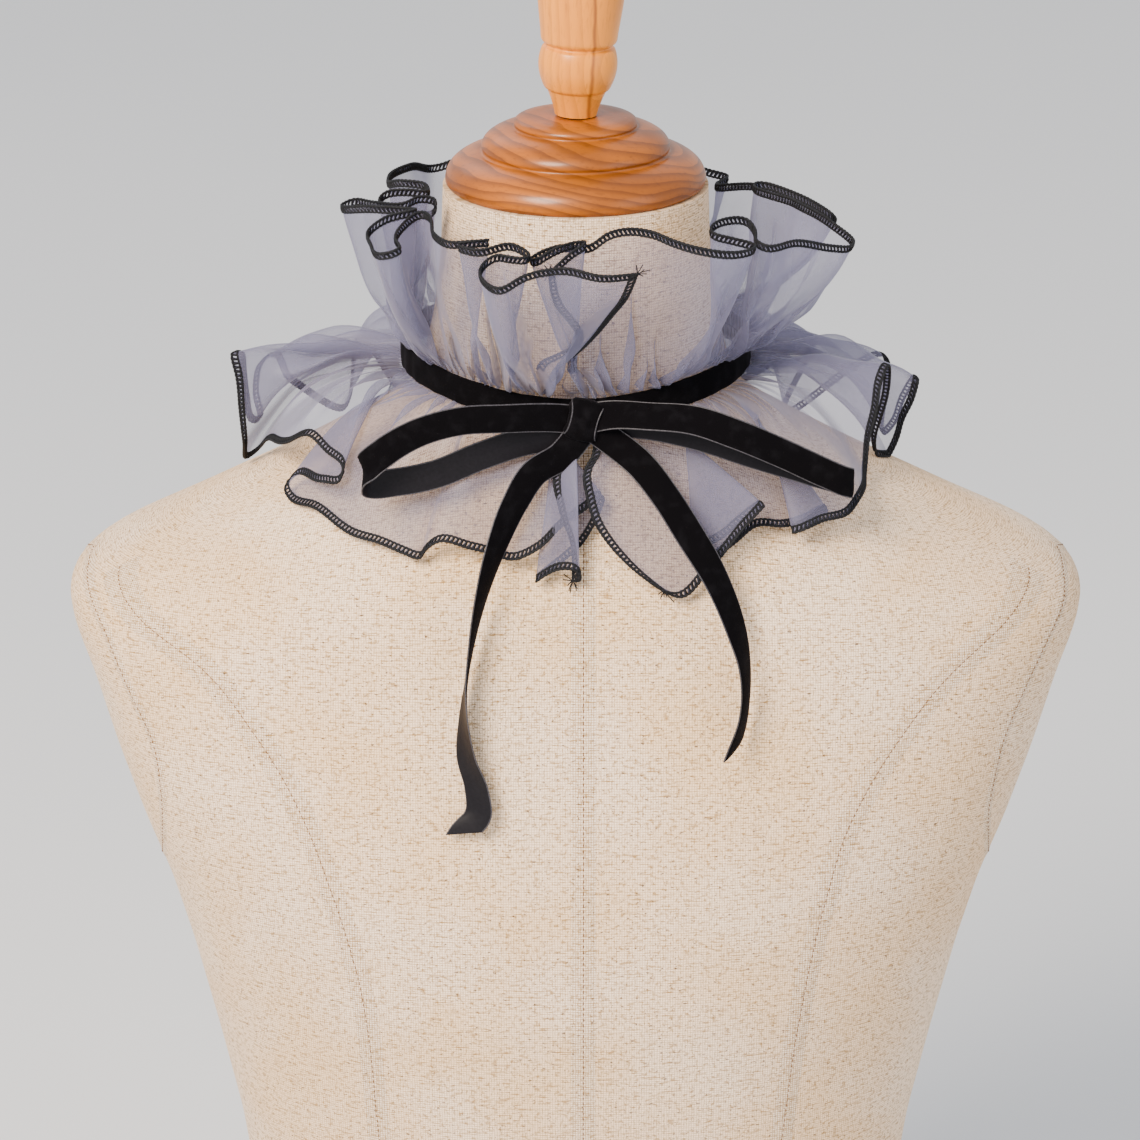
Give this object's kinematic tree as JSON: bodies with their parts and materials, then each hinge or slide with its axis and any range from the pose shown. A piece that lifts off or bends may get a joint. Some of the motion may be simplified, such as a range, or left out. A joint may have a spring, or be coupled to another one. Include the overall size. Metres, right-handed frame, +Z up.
{
  "type": "detachable ruffled collar on a limbless dress form",
  "caption": "Sheer gathered neck ruffle with dark overlocked edges and a velvet ribbon bow, resting on a limbless linen dress form with a turned wooden neck cap.",
  "frame": {"origin": "centre of the dress form's flat underside", "axes": "+Z up the form's axis, the collar's bow faces -Y, +X to the right as the picture shows it"},
  "size_m": [0.406, 0.2422, 0.7124],
  "materials": {
    "linen": "natural slubbed linen cover, matt",
    "cap_wood": "turned and lacquered, warm orange-brown",
    "finial_wood": "turned, lighter honey-coloured, satin",
    "organza": "sheer pale lavender-grey organza",
    "velvet": "black velvet ribbon with a satin back"
  },
  "bodies": {
    "root": {"form_torso": "linen", "form_neck_cap": "cap_wood", "form_finial": "finial_wood", "ruffle_upper": "organza", "ruffle_lower": "organza", "ribbon_band": "velvet", "bow_knot": "velvet", "bow_loop_left": "velvet", "bow_loop_right": "velvet", "bow_tail_left": "velvet", "bow_tail_right": "velvet"}
  },
  "joints": []
}
